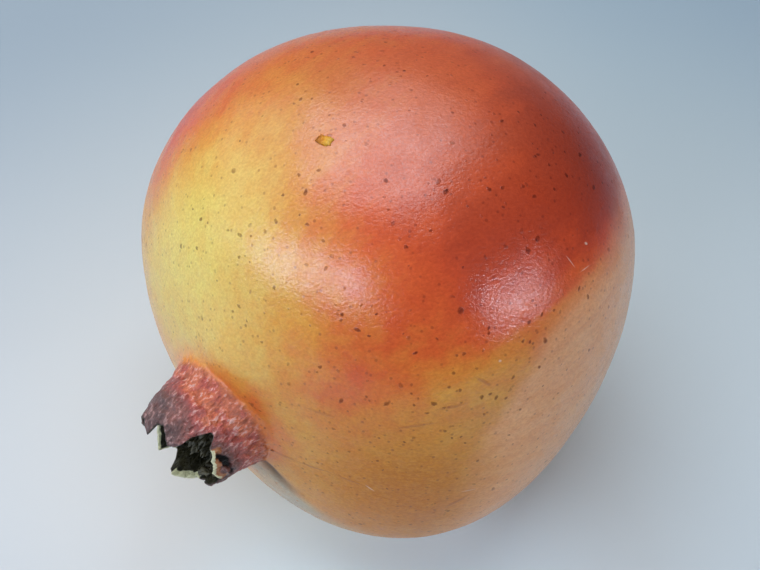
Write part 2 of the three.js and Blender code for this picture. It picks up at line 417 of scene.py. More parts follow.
CAMERA_AZIMUTH, CAMERA_ELEVATION, CAMERA_DISTANCE = 40.0, 49.0, 198.0
CAMERA_AIM = dict(right=1.11, up=-2.22, rise=0.2)   # off the centre; from that fit
LENS, SENSOR = 50.0, 36.0
IMAGE_WIDTH, IMAGE_HEIGHT = 760, 570


def camera_axes():
    back = bearing(CAMERA_AZIMUTH, CAMERA_ELEVATION)
    a = math.radians(CAMERA_AZIMUTH)
    right = Vector((math.cos(a), math.sin(a), 0))
    return right, back.cross(right), back


def camera_place():
    right, up, back = camera_axes()
    aim_at = Vector((AXIS_X, 0, CENTRE_HEIGHT + CAMERA_AIM["rise"]))
    aim_at = aim_at + right * CAMERA_AIM["right"] + up * CAMERA_AIM["up"]
    return (aim_at + back * CAMERA_DISTANCE) * MM


def make_camera():
    data = bpy.data.cameras.new("camera")
    data.lens, data.sensor_width = LENS, SENSOR
    data.clip_start = 0.01
    camera = add_object("camera", data)
    camera.location = camera_place()
    camera.rotation_euler = camera_axes()[2].to_track_quat("Z", "Y").to_euler()
    bpy.context.scene.camera = camera


def pixel_ray(x, y):
    """The direction of the sight line through a point of the picture."""
    right, up, back = camera_axes()
    focal = IMAGE_WIDTH * LENS / SENSOR
    return (right * (x - IMAGE_WIDTH / 2) - up * (y - IMAGE_HEIGHT / 2) - back * focal).normalized()


# ---- Materials ----

class Shader:
    """A material with short ways to add nodes. Sockets are passed as inputs, numbers as values."""

    def __init__(self, name):
        self.material = bpy.data.materials.new(name)
        self.material.use_nodes = True
        self.nodes = self.material.node_tree.nodes
        self.links = self.material.node_tree.links
        self.surface = self.nodes["Principled BSDF"]

    def feed(self, socket, value):
        if isinstance(value, bpy.types.NodeSocket):
            self.links.new(value, socket)
        else:
            socket.default_value = (*value, 1) if socket.type == "RGBA" else value

    def set(self, **inputs):
        for name, value in inputs.items():
            self.feed(self.surface.inputs[name.replace("_", " ")], value)

    def node(self, kind, *inputs, **settings):
        """A new node; inputs are (name or number of a socket, value)."""
        node = self.nodes.new("ShaderNode" + kind)
        for name, value in settings.items():
            setattr(node, name, value)
        for socket, value in inputs:
            if value is not None:
                self.feed(node.inputs[socket], value)
        return node

    def math(self, operation, *numbers, clamp=False):
        node = self.node("Math", *enumerate(numbers), operation=operation, use_clamp=clamp)
        return node.outputs[0]

    def vector(self, operation, a, b=None, scale=None):
        node = self.node("VectorMath", (0, a), (1, b), ("Scale", scale), operation=operation)
        gives_number = operation in ("DOT_PRODUCT", "LENGTH", "DISTANCE")
        return node.outputs["Value" if gives_number else "Vector"]

    def times(self, a, b):
        return self.math("MULTIPLY", a, b)

    def dot(self, a, b):
        return self.vector("DOT_PRODUCT", a, b)

    def span(self, value, low, high, to_low=0.0, to_high=1.0):
        numbers = enumerate((value, low, high, to_low, to_high))
        return self.node("MapRange", *numbers, interpolation_type="SMOOTHSTEP").outputs[0]

    def noise(self, vector, scale, detail, roughness, colour=False):
        node = self.node("TexNoise", ("Vector", vector), ("Scale", scale), ("Detail", detail),
                         ("Roughness", roughness))
        return node.outputs["Color" if colour else "Fac"]

    def mottle(self, vector, name):
        scale, detail, roughness, *stretch = MOTTLES[name]
        return self.span(self.noise(vector, scale, detail, roughness), *stretch)

    def stretched(self, vector, stretch, turn=0):
        """Coordinates in which a texture is drawn out along each axis, and turned about Z."""
        rotation = (0, 0, math.radians(turn))
        return self.node("Mapping", ("Vector", vector), ("Rotation", rotation),
                         ("Scale", stretch), vector_type="TEXTURE").outputs[0]

    def ramp(self, value, stops):
        node = self.node("ValToRGB", (0, value))
        elements = node.color_ramp.elements
        while len(elements) < len(stops):
            elements.new(0.5)
        for element, (at, colour) in zip(elements, stops):
            element.position, element.color = at, (*colour, 1)
        return node.outputs[0]

    def mix(self, share, a, b, blend="MIX"):
        node = self.node("Mix", (0, share), (6, a), (7, b), data_type="RGBA", blend_type=blend)
        return node.outputs[2]

    def multiply(self, colour, tint):
        return self.mix(1.0, colour, tint, "MULTIPLY")

    def attribute(self, name):
        return self.node("Attribute", attribute_name=name).outputs["Fac"]

    def place(self):
        return self.node("TexCoord").outputs["Object"]

    def from_centre(self, at):
        return self.vector("SUBTRACT", at, (AXIS_X * MM, 0, CENTRE_HEIGHT * MM))

    def bump(self, height, distance, strength=1.0, under=None):
        return self.node("Bump", ("Height", height), ("Distance", distance),
                         ("Strength", strength), ("Normal", under)).outputs[0]


# How far the skin has reddened: 0 is yellow, 1 is the deepest red.
BLUSH_BASE = 0.55
# polar, around, spread in degrees, and what it adds
BLUSH = [
    (40, 325, 36, -0.50),    # the yellow cheek beside the crown
    (62, 345, 20, -0.13),    # reaching up toward the top
    (30, 30, 20, -0.14),
    (32, 55, 14, 0.20),
    (104, 34, 38, 0.33),     # the red cheek
    (112, 44, 22, 0.22),
    (70, 38, 24, 0.22),      # and its tongue toward the crown
    (61, 53, 14, -0.14),
    (76, 318, 20, 0.24),     # a pink rim on the left
    (104, 350, 20, 0.10),
    (66, 332, 18, 0.12), (58, 307, 11, 0.24), (70, 312, 12, 0.16),
    (31, 6, 10, 0.08), (52, 58, 9, 0.08), (46, 56, 12, 0.20),
    (150, 250, 60, -0.14),   # the paler back
    (80, 200, 45, -0.25),    # and underside
    (118, 150, 34, 0.26),    # red again behind
    (125, 285, 30, 0.24),
    (162, 10, 26, 0.16),
    (72, 42, 9, 0.05),       # a deeper red in the tongue
]
FOOT_BLUSH = dict(polar=(23, 16), amount=0.3)   # round the crown's foot, from clear to full
RIDGE_SIDE = (90, 150)       # polar and around of the side past the ridge by the red cheek
PAST_RIDGE = (-0.17, 0.01, 1.0, 0.68)   # and how much of the blush is left there
# The tan, partly the skin's own russet and partly a painted reflection of the pale floor, begins
# where "past" is over start + bow * crownward squared, softly by blur, and wanders more toward the
# stalk. A range here is low, high, and what each of them gives.
TAN = dict(
    side=(82, 118), share=0.85, start=-0.05, bow=1.3, wander=(0.0, 0.4),
    blur=(0.0, 0.5, 0.06, 0.34), by_crown=(0.36, 0.60, 1, 0), facing=(0.05, 0.6, 0.1, 1))
# A darker olive gold on the lower flank: partly the skin's own gold, partly painted shade.
GOLD = dict(where=(47, 103, 30), colour=(0.50, 0.140, 0.0))
# polar, around, spread in degrees, colour, its share, and how much of the wax is left there
TINTS = [
    (86, 3, 28, (0.42, 0.145, 0.06), 0.5, 1.0),      # a dull bloom on the top
    (110, 41, 13, (0.17, 0.018, 0.008), 0.6, 0.6),   # maroon on the far shoulder
    (126, 17, 15, (0.27, 0.115, 0.08), 0.5, 0.45),   # and brown behind it
    (90, 33, 8, (0.69, 0.082, 0.012), 0.1, 0.75),    # a clear red by the bright top
    (51, 66, 12, (0.76, 0.32, 0.02), 0.15, 0.7),     # a clear gold over the crown
]
RAMPS = dict(
    skin=[
        (0.0, (0.80, 0.585, 0.12)), (0.2, (0.785, 0.465, 0.087)), (0.4, (0.76, 0.31, 0.040)),
        (0.6, (0.73, 0.17, 0.025)), (0.75, (0.70, 0.092, 0.017)), (0.9, (0.58, 0.056, 0.011)),
        (1.0, (0.45, 0.038, 0.008))],
    # The tan's colours: partly russet skin, partly a painted reflection of the pale floor.
    tan=[(0.34, (0.79, 0.313, 0.113)), (0.5, (0.84, 0.362, 0.142)), (0.68, (0.87, 0.405, 0.17))],
    grain=[(0.32, (0.90, 0.85, 0.81)), (0.68, (1.09, 1.15, 1.21))],
    crown=[
        (0.0, (0.64, 0.15, 0.06)), (0.15, (0.54, 0.095, 0.06)), (0.4, (0.38, 0.075, 0.06)),
        (0.65, (0.25, 0.08, 0.06)), (1.0, (0.13, 0.055, 0.045))],
    # The crinkles' dark lows are painted shade and their pale bluish tops painted glints.
    crinkle=[(0.36, (0.62, 0.55, 0.55)), (0.5, (0.95, 0.95, 0.95)), (0.66, (1.35, 1.5, 1.6))],
    # The cup's near-black is painted shade.
    cup=[(0.35, (0.014, 0.012, 0.006)), (0.7, (0.065, 0.055, 0.024))],
    flesh=[(0.3, (0.38, 0.11, 0.03)), (0.55, (0.50, 0.20, 0.06)), (0.8, (0.80, 0.72, 0.42))],
    sap=[
        (0.10, (0.30, 0.08, 0.0)), (0.35, (0.58, 0.19, 0.0)), (0.6, (0.68, 0.27, 0.0)),
        (0.9, (0.72, 0.38, 0.04))],
    stamens=[(0.3, (0.022, 0.018, 0.009)), (0.7, (0.13, 0.105, 0.05))],
    bark=[(0.3, (0.07, 0.042, 0.022)), (0.5, (0.20, 0.125, 0.07)), (0.72, (0.36, 0.27, 0.17))],
    wood=[(0.0, (0.34, 0.22, 0.12)), (1.0, (0.52, 0.38, 0.22))],
)
# Several of these are painted light: the first grey one is a painted floor reflection with painted
# shade, the crest colour is painted glints, and the crease and split colours are painted shade.
PAINT = dict(
    scar=(0.38, 0.34, 0.24), stain=(0.30, 0.055, 0.012), pale=(0.86, 0.66, 0.50),
    crest=(0.80, 0.47, 0.41), crease=(0.045, 0.026, 0.018), rim=(0.80, 0.76, 0.44),
    split=(0.006, 0.004, 0.003), pith=(0.12, 0.07, 0.035), weathered=(0.20, 0.12, 0.065))
PORE_TINT = (0.40, 0.28, 0.26)         # the skin's colour is multiplied by these two
LENTICEL_TINT = (0.28, 0.21, 0.20)
FINE_PORES = dict(scale=760, share=(0.48, 0.54), edge=(0.10, 0.26), depth=0.52)
# Noises: scale, detail, roughness.
DRIFT, BLOTCH, CUP_GRIME = (42, 3, 0.55), (26, 5, 0.62), (500, 4, 0.6)
SAP_GRAIN, THREAD_GRAIN = (1500, 3, 0.6), (900, 5, 0.65)
# The same, then the low and high of the noise that are used, and what each of them gives.
MOTTLES = dict(
    wander=(34, 3, 0.5, 0.3, 0.7, -0.2, 0.2), streak=(17, 4, 0.6, 0.3, 0.7, -0.05, 0.05),
    fleck=(240, 4, 0.6, 0.3, 0.7, -0.035, 0.035), gilt=(60, 5, 0.65, 0.36, 0.62, 0.78, 1.02),
    scar=(170, 5, 0.65, 0.36, 0.6, 0.55, 0.85), dab=(2600, 2, 0.6, 0.25, 0.6, 0.55, 1.0),
    age=(420, 4, 0.65, 0.3, 0.7, -0.2, 0.2), tear=(700, 3, 0.6, 0.3, 0.7, 0.75, 1.1),
    frost=(3500, 2, 0.6, 0.36, 0.64, 0.6, 1.25), wear=(230, 4, 0.65, 0.36, 0.64, 0.84, 1.14),
    dullness=(300, 3, 0.6, 0.3, 0.7, 0.38, 0.48), sap=(900, 3, 0.6, 0.3, 0.7, -0.12, 0.12),
    wood=(700, 4, 0.6, 0.45, 0.75, 0, 0.6),
)
STREAK_LENGTH = 0.12                   # how far the noises along the fruit are drawn out
GRAIN = dict(noise=(2300, 3, 0.6), stretch=(1.4, 1, 1), turn=52, height=0.00011)
LEATHER = dict(noise=(1200, 3, 0.55), height=0.00005)
# The crests pick out where the crinkles get painted glints.
CRINKLE = dict(
    noise=(1500, 4, 0.62), stretch=(1, 2.2, 1), height=0.0009, crests=(0.55, 0.64),
    by_age=(0.1, 0.8, 0.82, 0.28))
ON_CROWN, BARE_FLESH, IN_CREASE = (0.02, 0.22), (0.12, 0.3), 0.85
# The wax on the skin: its range from whole to worn off, and how much less of it is on the gold.
WAX = dict(coat=(0, 1, 0.65, 0.02), worn=0.8, on_gold=(0.1, 0.9, 1.0, 0.45))


def skin_material():
    s = Shader("pomegranate_skin")
    at = s.place()
    unit = s.vector("NORMALIZE", s.from_centre(at))
    drift = s.vector("SUBTRACT", s.noise(at, *DRIFT, colour=True), (0.5, 0.5, 0.5))

    def bend(amount):
        return s.vector("NORMALIZE", s.vector("ADD", unit, s.vector("SCALE", drift, scale=amount)))

    bent, bent_less = bend(0.30), bend(0.12)

    def patch(polar, around, spread):
        near = s.math("MAXIMUM", s.dot(bent, aim(polar, around)), 0.0)
        return s.math("POWER", near, 2 / math.radians(spread) ** 2)

    blush = BLUSH_BASE
    for *where, amount in BLUSH:
        blush = s.math("MULTIPLY_ADD", patch(*where), amount, blush)

    # Past the ridge the red stops, and the skin turns gold, and lower down a dull pinkish tan,
    # partly russet skin and partly a painted reflection of the pale floor.
    past = s.dot(bent_less, aim(*RIDGE_SIDE))
    crownward = s.math("MAXIMUM", s.dot(bent_less, (0, -1, 0)), 0.0)
    stalkward = s.dot(bent_less, (0, 1, 0))
    blush = s.times(blush, s.span(past, *PAST_RIDGE))
    edge = s.math("MULTIPLY_ADD", s.times(crownward, crownward), TAN["bow"], TAN["start"])
    wander = s.times(s.mottle(at, "wander"), s.span(stalkward, *TAN["wander"]))
    off_edge = s.math("SUBTRACT", past, s.math("ADD", edge, wander))
    dull = s.span(s.math("DIVIDE", off_edge, s.span(stalkward, *TAN["blur"])), -1, 1)
    dull = s.times(dull, s.span(crownward, *TAN["by_crown"]))
    dull = s.times(dull, s.span(s.dot(bent, aim(*TAN["side"])), *TAN["facing"]))

    # Streaks run from the crown toward the stalk.
    lengthwise = s.vector("MULTIPLY", unit, (1, STREAK_LENGTH, 1))
    blush = s.math("ADD", blush, s.mottle(lengthwise, "streak"))
    blush = s.math("ADD", blush, s.mottle(at, "fleck"))
    clear, full = (math.cos(math.radians(polar)) for polar in FOOT_BLUSH["polar"])
    foot = s.span(s.dot(bent, (0, -1, 0)), clear, full, 0, FOOT_BLUSH["amount"])
    skin = s.ramp(s.math("ADD", blush, foot, clamp=True), RAMPS["skin"])
    # The darker gold here is partly painted shade.
    gold = patch(*GOLD["where"])
    skin = s.mix(s.times(gold, s.mottle(lengthwise, "gilt")), skin, GOLD["colour"])
    # The tan mixed in here is partly a painted reflection of the floor.
    russet = s.ramp(s.noise(lengthwise, *BLOTCH), RAMPS["tan"])
    skin = s.mix(s.times(dull, TAN["share"]), skin, russet)
    wax_left = 1.0
    for *where, tint, share, wax in TINTS:
        near = patch(*where)
        skin = s.mix(s.times(near, share), skin, tint)
        wax_left = s.times(wax_left, s.span(near, 0, 1, 1.0, wax))
    # The pale grey beside the crease: a painted floor reflection and painted shade.
    skin = s.mix(s.times(s.attribute("grey"), s.mottle(at, "scar")), skin, PAINT["scar"])

    # Fine pale and brown grain, under half a millimetre, drawn out along the leathery folds.
    folds = s.stretched(at, GRAIN["stretch"], GRAIN["turn"])
    grain = s.noise(folds, *GRAIN["noise"])
    skin = s.multiply(skin, s.ramp(grain, RAMPS["grain"]))
    pores = s.node("TexVoronoi", ("Vector", at), ("Scale", FINE_PORES["scale"]))
    keep = s.span(pores.outputs["Color"], *FINE_PORES["share"])
    pore = s.times(s.span(pores.outputs["Distance"], *FINE_PORES["edge"], 1, 0), keep)
    skin = s.mix(s.times(pore, FINE_PORES["depth"]), skin, s.multiply(skin, PORE_TINT))
    spot = s.attribute("spot")
    skin = s.mix(s.times(spot, s.mottle(at, "dab")), skin, s.multiply(skin, LENTICEL_TINT))
    # Stains, one of them a painted shadow beside the sap bead, and pale scratches.
    for mark in ("stain", "pale"):
        skin = s.mix(s.attribute(mark), skin, PAINT[mark])

    # The crown: red at its foot, purple-brown and mottled toward the tips, pale where it is torn.
    aged = s.math("ADD", s.attribute("aged"), s.mottle(at, "age"))
    # Its crinkled surface: pale crests that are painted glints and dark creases that are painted
    # shade, both running lengthwise.
    crinkle = s.noise(s.stretched(at, CRINKLE["stretch"]), *CRINKLE["noise"])
    crown_skin = s.multiply(s.ramp(aged, RAMPS["crown"]), s.ramp(crinkle, RAMPS["crinkle"]))
    crests = s.times(s.span(crinkle, *CRINKLE["crests"]), s.span(aged, *CRINKLE["by_age"]))
    crown_skin = s.mix(crests, crown_skin, PAINT["crest"])
    on_crown = s.span(s.attribute("crown"), *ON_CROWN)
    colour = s.mix(on_crown, skin, crown_skin)
    inside, split = s.attribute("inside"), s.attribute("split")
    # Painted shade: the inside of the cup is near-black, mottled with dark olive-brown.
    colour = s.mix(inside, colour, s.ramp(s.noise(at, *CUP_GRIME), RAMPS["cup"]))
    # Painted shade darkens the crease.
    colour = s.mix(s.times(s.attribute("crease"), IN_CREASE), colour, PAINT["crease"])
    torn = s.times(s.mottle(at, "tear"), s.attribute("torn"))
    flesh = s.mix(inside, s.ramp(torn, RAMPS["flesh"]), PAINT["rim"])
    bare = s.math("MAXIMUM", s.span(torn, *BARE_FLESH), s.times(inside, torn))
    # The splits are painted near-black as shade.
    colour = s.mix(split, s.mix(bare, colour, flesh), PAINT["split"])

    grain_bump = s.bump(grain, GRAIN["height"], 0.55)
    skin_bump = s.bump(s.noise(folds, *LEATHER["noise"]), LEATHER["height"], 0.5, grain_bump)
    crinkled = s.times(crinkle, on_crown)
    crown_bump = s.bump(crinkled, CRINKLE["height"], 1.0, skin_bump)
    # The natural wax: worn off the lenticels and the golden patch, none in the tears, and frosted.
    worn = s.times(s.math("MAXIMUM", inside, spot), WAX["worn"])
    coat = s.span(s.math("MAXIMUM", split, worn), *WAX["coat"])
    on_gold = s.span(gold, *WAX["on_gold"])
    for left in (on_gold, wax_left, s.mottle(at, "frost"), s.mottle(at, "wear")):
        coat = s.times(coat, left)
    s.set(Base_Color=colour, Normal=crown_bump, Coat_Normal=crown_bump, Coat_Weight=coat,
          Roughness=s.mottle(at, "dullness"), IOR=1.45, Specular_IOR_Level=0.2, Coat_IOR=1.8,
          Coat_Roughness=0.15)
    return s.material


def stamen_material():
    s = Shader("dry_stamens")
    grain = s.noise(s.place(), *THREAD_GRAIN)
    s.set(Base_Color=s.ramp(grain, RAMPS["stamens"]), Normal=s.bump(grain, 0.0002), Roughness=0.5)
    return s.material


# ---- Lenticels and marks ----

# The larger pores where the picture shows them: x, y in its pixels, and radius in millimetres.
SEEN_PORES = [
    (240, 235, .62), (228, 230, .36), (251, 236, .3), (201, 219, .45), (181, 246, .48),
    (197, 248, .42), (239, 257, .42), (239, 306, .5), (307, 224, .45), (323, 241, .4),
    (283, 195, .45), (306, 192, .6), (299, 175, .4), (240, 141, .3), (312, 52, .5),
    (404, 71, .45), (427, 76, .35), (502, 121, .5), (535, 125, .4), (580, 155, .62),
    (566, 175, .55), (594, 187, .66), (502, 188, .55), (489, 189, .5), (446, 191, .62),
    (503, 207, .35), (537, 239, .62), (528, 251, .6), (554, 189, .45), (541, 115, .3),
    (406, 247, .45), (461, 311, .72), (554, 310, .4), (542, 314, .42), (529, 322, .45),
    (545, 341, .6), (523, 341, .4), (530, 342, .42), (489, 328, .4), (489, 333, .4),
    (342, 314, .4), (358, 330, .62), (341, 320, .35), (369, 336, .3), (376, 314, .3),
    (415, 353, .4), (464, 354, .4), (437, 339, .3), (252, 405, .55), (265, 428, .3),
    (260, 411, .3), (320, 367, .42), (247, 321, .3), (341, 401, .62), (386, 404, .6),
    (434, 404, .62), (444, 408, .4), (427, 413, .4), (414, 405, .35), (460, 390, .45),
    (482, 397, .5), (490, 394, .5), (496, 398, .5), (506, 398, .4), (484, 414, .3),
    (539, 367, .4), (589, 350, .35), (593, 281, .3), (579, 289, .5), (588, 297, .45),
    (543, 386, .3), (461, 437, .3), (465, 443, .3), (452, 438, .3), (383, 470, .3),
    (379, 438, .3), (404, 442, .3), (509, 435, .3),
]
PORE_COUNT = 1150            # with those
PORE_SHAPE = dict(long=1.05, wide=0.74)   # half sizes of a seen pore to its radius
# where there are none: degrees from the crown's end and the stalk's, metres over the table
NO_PORES = dict(ends=(17, 10), low=0.002)
# a random pore's radius: the least, an even spread, and a part that is seldom large
PORE_RADIUS = (0.16, 0.13, 0.24)
# share of the mark's size, height in millimetres, strength, from the rim to the middle
PORE_LEVELS = ((1.0, -0.02, 0.0), (0.82, 0.006, 0.35), (0.55, 0.02, 0.9), (0.25, 0.018, 1.0))
# Streaks and scratches: x, y, to x, y, half width in millimetres, strength.
STREAKS = dict(
    stain=[
        (292, 459, 334, 473, .34, .5), (330, 472, 368, 487, .3, .4), (302, 406, 337, 418, .5, .3),
        (393, 428, 437, 422, .45, .35), (440, 509, 472, 493, .55, .5),
        (434, 410, 471, 402, .45, .35), (473, 375, 494, 387, .4, .45),
        # The mark at 326, 135 beside the sap bead is a painted shadow of the bead; the rest are
        # stains.
        (448, 143, 456, 143, .35, .8), (326, 135, 333, 136, .4, .8), (268, 450, 298, 461, .5, .4),
    ],
    pale=[
        (364, 484, 376, 492, .16, .5), (459, 492, 479, 488, .16, .5), (565, 254, 576, 269, .13, .4),
        (579, 273, 591, 264, .12, .4), (584, 243, 588, 244, .3, .55), (498, 361, 502, 361, .25, .5),
    ],
)
STREAK_LEVELS = ((1.0, -0.02, 0.0), (0.8, 0.006, 0.25), (0.5, 0.02, 0.8), (0.2, 0.022, 1.0))
SAP = dict(ends=(316, 138, 333, 143), half_width=0.85)
SAP_LEVELS = (
    (1.0, -0.06, 0.0), (0.97, 0.10, 0.0), (0.86, 0.26, 0.0), (0.68, 0.34, 0.0),
    (0.45, 0.42, 0.0), (0.2, 0.38, 0.0))
MARK_ROOT = 0.12             # how far a mark reaches down into the skin, in millimetres


def surface_tree(piece):
    mesh = piece.data
    points = [v.co.copy() for v in mesh.vertices]
    return BVHTree.FromPolygons(points, [tuple(p.vertices) for p in mesh.polygons])


def mark_mesh(name, marks, tree, levels, field, spokes=12, ragged=0.22, roundness=1.0):
    """Closed low lenses laid on the skin. Each mark is its centre in metres, the way it is long,
    its half length and half width in millimetres, and its strength, which field passes on."""
    points, faces, values = [], [], []
    for centre, way, half_long, half_wide, strength in marks:
        normal = tree.find_nearest(centre)[1]
        y_axis = normal.cross(way).normalized()
        x_axis = y_axis.cross(normal)
        first = len(points)
        wobble = 1 + ragged * rng.standard_normal(spokes).clip(-1.4, 1.4)
        wobble = (wobble + np.roll(wobble, 1)) / 2
        for share, lift, value in levels:
            for k in range(spokes):
                angle = 2 * math.pi * k / spokes
                c, d = math.cos(angle), math.sin(angle)
                u = half_long * math.copysign(abs(c) ** roundness, c) * share * wobble[k]
                v = half_wide * math.copysign(abs(d) ** roundness, d) * share * wobble[k]
                near, near_normal = tree.find_nearest(centre + (x_axis * u + y_axis * v) * MM)[:2]
                points.append(near + near_normal * lift * MM)
                values.append(value * strength)
        faces += sleeve(first, len(levels), spokes)
        last = len(points) - spokes
        top, bottom = len(points), len(points) + 1
        points.append(centre + normal * levels[-1][1] * MM)
        points.append(centre - normal * MARK_ROOT * MM)
        values += [strength * levels[-1][2], 0.0]
        for k, after in pairs(spokes):
            faces += [(last + k, last + after, top), (first + after, first + k, bottom)]
    piece = add_piece(name, [tuple(p) for p in points], faces)
    set_field(piece, field, values)
    return piece


def seen(tree, x, y):
    """The point of the skin that the picture shows at x, y, and the skin's normal there."""
    return tree.ray_cast(camera_place(), pixel_ray(x, y))[:2]


def seen_mark(tree, ends, half_wide, strength):
    """A mark between two points of the picture, given as x, y, x, y."""
    start, end = seen(tree, *ends[:2])[0], seen(tree, *ends[2:])[0]
    way = end - start
    middle = tree.find_nearest((start + end) / 2)[0]
    return start, (middle, way.normalized(), way.length / 2 / MM, half_wide, strength)


def pores(tree):
    marks = []

    def any_way(normal):
        return Quaternion(normal, rng.uniform(0, math.pi)) @ normal.orthogonal().normalized()

    for x, y, radius in SEEN_PORES:
        hit, normal = seen(tree, x, y)
        if hit is not None:
            half_long, half_wide = radius * PORE_SHAPE["long"], radius * PORE_SHAPE["wide"]
            marks.append((hit, any_way(normal), half_long, half_wide, rng.uniform(0.8, 1.0)))
    centre = Vector((AXIS_X, 0, CENTRE_HEIGHT)) * MM
    crown, stalk = (math.cos(math.radians(polar)) for polar in NO_PORES["ends"])
    least, spread, rare = PORE_RADIUS
    while len(marks) < PORE_COUNT:
        way = Vector(rng.standard_normal(3)).normalized()
        if way.y < -crown or way.y > stalk:
            continue
        hit, normal = tree.ray_cast(centre + way * 0.2, -way)[:2]
        if hit is None or hit.z < NO_PORES["low"]:
            continue
        radius = least + spread * rng.random() + rare * rng.random() ** 4
        long_way, half_long = any_way(normal), radius * rng.uniform(1, 1.3)
        marks.append((hit, long_way, half_long, radius, rng.uniform(0.4, 0.9)))
    return mark_mesh("lenticels", marks, tree, PORE_LEVELS, "spot", ragged=0.3)


def streaks(tree, field):
    marks = [seen_mark(tree, streak[:4], *streak[4:])[1] for streak in STREAKS[field]]
    return mark_mesh("skin_" + field, marks, tree, STREAK_LEVELS, field, 24, 0.12)


def sap_bead(tree):
    start, mark = seen_mark(tree, SAP["ends"], SAP["half_width"], 1.0)
    piece = mark_mesh("sap_bead", [mark], tree, SAP_LEVELS, "spot", 28, 0.13, 0.75)
    way, length = mark[1], 2 * mark[2] * MM
    set_field(piece, "spot", [(v.co - start).dot(way) / length for v in piece.data.vertices])
    return piece


def sap_material():
    s = Shader("dried_sap")
    at = s.place()
    along = s.math("ADD", s.attribute("spot"), s.mottle(at, "sap"))
    bump = s.bump(s.noise(at, *SAP_GRAIN), 0.0005, 0.9)
    s.set(Base_Color=s.ramp(along, RAMPS["sap"]), Normal=bump, Roughness=0.3,
          Specular_IOR_Level=0.3, Coat_Weight=0.08, Coat_Roughness=0.05)
    return s.material


# ---- Stamens ----

STAMENS = dict(threads=130, base=42.15, widest=6.8, length=(2.8, 6.4), lean=(-0.25, 0.5),
               twist=16, radius=(0.09, 0.15), anther=2.4, tip=0.6)
# Shrivelled threads caught on the low side of the crown; turns in degrees.
RIM_THREADS = dict(count=34, around=(106, 160), reach=(44.5, 47.6), turn=(6, 20),
                   drop=(-1.5, 1.2), radius=(0.16, 0.42), off_wall=(1.3, 1.9))
# out from the cup's floor, radius: a low dark cushion under the threads
CUSHION = [(0.0, 4.6), (0.3, 4.9), (0.7, 4.2), (1.0, 2.6), (1.1, 0.8)]
THREAD_POINTS = 8


def thread_mesh(name, threads, sides=6):
    """Closed tubes, each a list of (point in millimetres, radius)."""
    points, faces = [], []
    for thread in threads:
        path = np.array([p for p, _ in thread])
        first = len(points) + 1
        points.append(path[0])
        for (p, radius), way in zip(thread, np.gradient(path, axis=0)):
            way = Vector(way).normalized()
            x_axis = way.cross(Vector((0.31, 0.17, 0.94))).normalized()
            y_axis = way.cross(x_axis)
            for k in range(sides):
                angle = 2 * math.pi * k / sides
                out = x_axis * math.cos(angle) + y_axis * math.sin(angle)
                points.append(p + radius * np.array(out))
        faces += sleeve(first, len(thread), sides)
        last, tip = len(points) - sides, len(points)
        points.append(path[-1])
        for k, after in pairs(sides):
            faces += [(first - 1, first + after, first + k), (last + k, last + after, tip)]
    return add_piece(name, (np.array(points) * MM).tolist(), faces)


def stamens():
    threads = [[(place(STAMENS["base"] + out, 0, 0.0), radius) for out, radius in CUSHION]]
    # The dried threads on the cushion, each with an anther at its tip.
    for _ in range(STAMENS["threads"]):
        around, radius = rng.uniform(0, 360), CUSHION[0][1] * math.sqrt(rng.random())
        length, lean = rng.uniform(*STAMENS["length"]), rng.uniform(*STAMENS["lean"])
        twist, thick = rng.normal(0, STAMENS["twist"]), rng.uniform(*STAMENS["radius"])
        thread = []
        for t in np.linspace(0, 1, THREAD_POINTS):
            out = min(radius + lean * length * t ** 1.5, STAMENS["widest"])
            wave = 0.25 * math.sin(3 * math.pi * t + around)
            swell = STAMENS["tip"] if t == 1 else STAMENS["anther"] if t > 0.8 else 1.0
            reach = STAMENS["base"] + CUSHION[1][0] + length * t * 0.92
            thread.append((place(reach, out + wave, around + twist * t), thick * swell))
        threads.append(thread)
    for _ in range(RIM_THREADS["count"]):
        around, reach = rng.uniform(*RIM_THREADS["around"]), rng.uniform(*RIM_THREADS["reach"])
        long = rng.uniform(*RIM_THREADS["turn"]) * rng.choice((-1, 1))
        drop, thick = rng.uniform(*RIM_THREADS["drop"]), rng.uniform(*RIM_THREADS["radius"])
        thread = []
        for t in np.linspace(0, 1, THREAD_POINTS):
            radius = wall_radius(reach) - rng.uniform(*RIM_THREADS["off_wall"])
            wave = 0.3 * math.sin(7 * t)
            belly = 0.5 + math.sin(math.pi * (0.1 + 0.8 * t))
            point = place(reach + drop * t + wave, radius, around + long * (t - 0.5))
            thread.append((point, thick * belly))
        threads.append(thread)
    return thread_mesh("dried_stamens", threads)


# ---- Stalk ----

STUB = dict(radius=2.9, length=5.6, slant=0.8, slant_side=40, gap=0.05, cut_rings=9)
STALK_COLUMNS = 72
# out from the dimple, radius: the bark from the clipped end down to the collar and its underside
STUB_SIDE = [
    (5.5, 2.93), (5.2, 2.94), (4.8, 2.88), (4.4, 2.84), (4.0, 2.82), (3.6, 2.83), (3.2, 2.86),
    (2.8, 2.9), (2.5, 2.98), (2.2, 3.12), (1.9, 3.3), (1.65, 3.48), (1.4, 3.6), (1.1, 3.69),
    (0.8, 3.74), (0.5, 3.72), (0.25, 3.62), (0.05, 3.45), (0.0, 2.8), (0.0, 1.4),
]
FIBRE = dict(noise=(1500, 5, 0.65), stretch=(1, 3.5, 1))
GROWTH_RINGS = dict(apart=0.00045, wander=0.0006, noise=(500, 3, 0.6))


